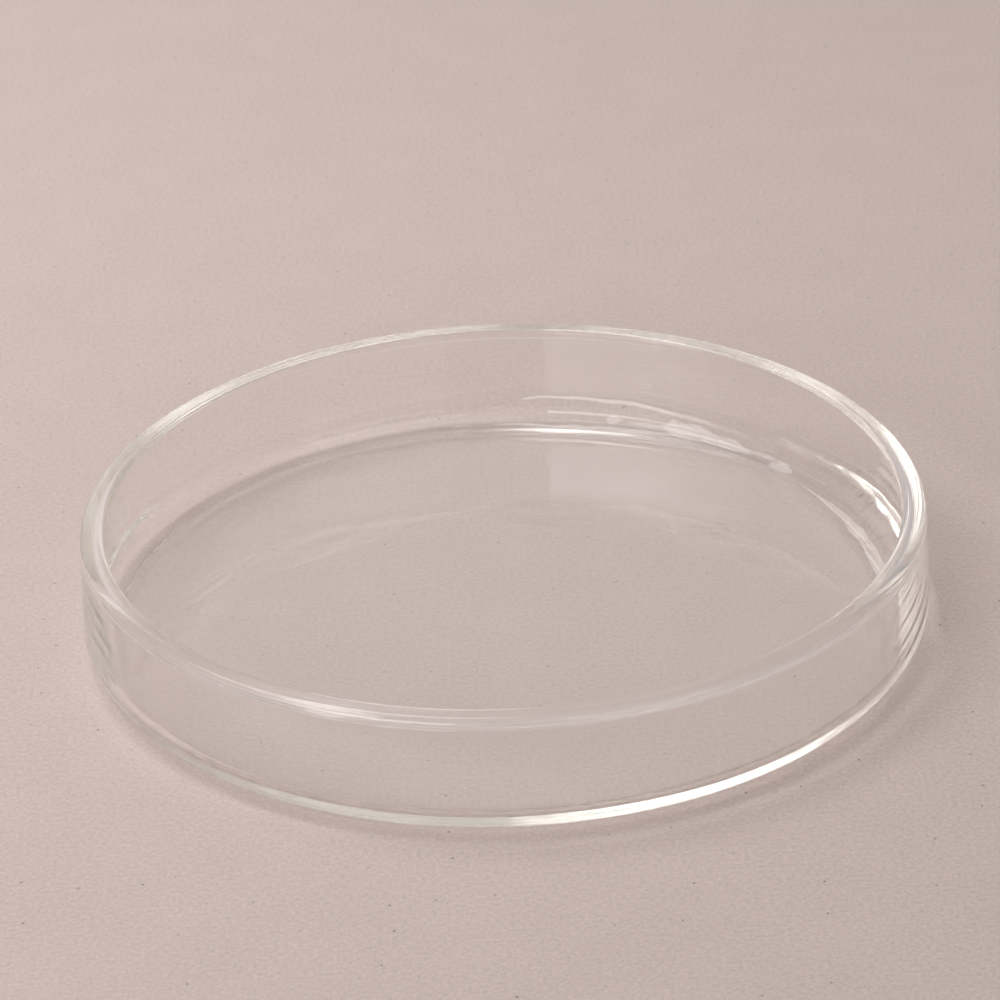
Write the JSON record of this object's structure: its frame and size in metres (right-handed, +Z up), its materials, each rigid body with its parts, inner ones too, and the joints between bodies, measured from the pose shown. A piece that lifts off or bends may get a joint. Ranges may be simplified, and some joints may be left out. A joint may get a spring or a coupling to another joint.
{
  "type": "petri dish",
  "caption": "Shallow round flat-bottomed glass culture dish with a flat rim, and a loose glass lid that overlaps its wall.",
  "frame": {"origin": "centre of the dish's flat underside, on the bench", "axes": "+Z up along the dish's axis, out of its mouth; +X from the dish towards the lid that lies beside it; +Y completes the frame"},
  "size_m": [0.2489, 0.1094, 0.015],
  "materials": {
    "dish_glass": "clear pressed soda-lime glass, fire-polished, faint yellow-green tint in the thickness of the rim",
    "lid_glass": "clear pressed soda-lime glass, fire-polished"
  },
  "bodies": {
    "dish": {"dish": "dish_glass"},
    "lid": {"lid": "lid_glass"}
  },
  "joints": [
    {"name": "lid_turnover", "type": "hinge", "parent": "dish", "child": "lid", "pos_m": [0.0719, 0, 0.0089], "axis": [0, -1, 0], "range_deg": [0, 180]}
  ]
}
